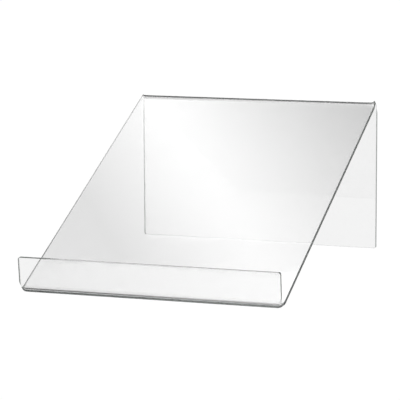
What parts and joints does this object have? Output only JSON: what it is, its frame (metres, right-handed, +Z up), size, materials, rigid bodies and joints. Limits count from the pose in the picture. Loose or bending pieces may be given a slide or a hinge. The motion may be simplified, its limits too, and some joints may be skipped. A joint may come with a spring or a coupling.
{
  "type": "plate display stand",
  "caption": "Free-standing display stand bent from a sheet of clear acrylic: sloped rest panel, short front lip, upright rear leg.",
  "frame": {"origin": "on the table, in the middle of the stand's outer box seen from above", "axes": "+X across the width, parallel to both bends; +Y from the front lip to the rear leg; +Z up"},
  "size_m": [0.21, 0.2754, 0.1249],
  "materials": {
    "acrylic": "clear cast acrylic, polished faces and flame-polished cut edges"
  },
  "bodies": {
    "root": {"lip": "acrylic", "front_bend": "acrylic", "rest_panel": "acrylic", "ridge_bend": "acrylic", "rear_leg": "acrylic"}
  },
  "joints": []
}
